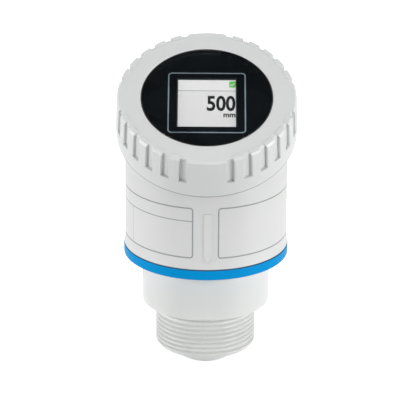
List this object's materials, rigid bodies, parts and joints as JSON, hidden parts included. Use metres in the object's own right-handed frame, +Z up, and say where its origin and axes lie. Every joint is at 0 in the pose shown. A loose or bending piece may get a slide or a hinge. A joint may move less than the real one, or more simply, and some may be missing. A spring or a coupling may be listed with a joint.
{
  "type": "radar level transmitter",
  "caption": "Compact radar level transmitter: threaded plastic process connection with a drip-off antenna cone, round housing, blue accent ring and tilted screw-on cover with display window.",
  "frame": {"origin": "centre of the sealing shoulder above the process thread, on the thread's axis", "axes": "+Z up along the thread's axis, from the antenna to the cover; -Y is the front, to which the cover and its window lean by 28 degrees; +X is to the right of somebody who reads the display; the plug leaves the back along +Y"},
  "size_m": [0.0856, 0.1055, 0.1591],
  "materials": {
    "housing_plastic": "moulded, fine grain",
    "process_plastic": "turned fluoropolymer, satin",
    "ring_plastic": "gloss",
    "cover_plastic": "moulded, fine grain",
    "window_clear": "polished, clear",
    "mask_black": "printed black",
    "frame_black": "satin",
    "retainer_plastic": "satin",
    "carrier_plastic": "moulded",
    "seal_rubber": "matte",
    "screw_steel": "plain zinc",
    "can_steel": "tinned sheet",
    "spacer_metal": "nickel plated",
    "plug_metal": "nickel plated, satin",
    "pin_gold": "gold plated",
    "horn_metal": "turned",
    "capacitor_can": "drawn can",
    "ferrite": "sintered ferrite",
    "board_green": "solder mask",
    "chip_black": "moulded",
    "insert_plastic": "moulded",
    "header_plastic": "moulded",
    "socket_plastic": "moulded",
    "ribbon_amber": "polyimide film",
    "wire_jacket": "extruded",
    "display_panel": "display glass"
  },
  "bodies": {
    "transmitter": {"housing": "housing_plastic", "accent_ring": "ring_plastic", "process_body": "process_plastic", "body_oring": "seal_rubber", "body_screws": "screw_steel", "horn": "horn_metal", "radar_chip": "chip_black", "radar_board": "board_green", "radar_screws": "screw_steel", "radar_shield": "can_steel", "radar_ribbon": "ribbon_amber", "supply_board": "board_green", "transformer": "ferrite", "capacitors": "capacitor_can", "stack_header": "chip_black", "base_spacers": "spacer_metal", "main_board": "board_green", "stack_spacers": "spacer_metal", "board_screws": "screw_steel", "main_chip": "chip_black", "radio_module": "can_steel", "wire_header": "header_plastic", "flex_sockets": "socket_plastic", "plug_shell": "plug_metal", "plug_oring": "seal_rubber", "plug_nut": "plug_metal", "plug_insert": "insert_plastic", "plug_pins": "pin_gold", "plug_wires": "wire_jacket", "display_carrier": "carrier_plastic", "carrier_screws": "screw_steel", "display_board": "board_green", "display_screws": "screw_steel", "display_panel": "display_panel", "display_frame": "frame_black", "display_ribbon": "ribbon_amber"},
    "cover_seal": {"cover_oring": "seal_rubber"},
    "cover": {"cover": "cover_plastic", "window": "window_clear", "window_gasket": "seal_rubber", "window_mask": "mask_black", "window_retainer": "retainer_plastic"}
  },
  "joints": [
    {"name": "cover_lift", "type": "slide", "parent": "transmitter", "child": "cover_seal", "axis": [0, -0.4695, 0.8829], "range_m": [0, 0.0076]},
    {"name": "cover_turn", "type": "hinge", "parent": "cover_seal", "child": "cover", "pos_m": [0, 0, 0.079], "axis": [0, -0.4695, 0.8829], "range_deg": [0, 1080]}
  ],
  "couplings": [
    {"joint": "cover_lift", "follows": "cover_turn", "m_per_rad": 0.00039789}
  ]
}
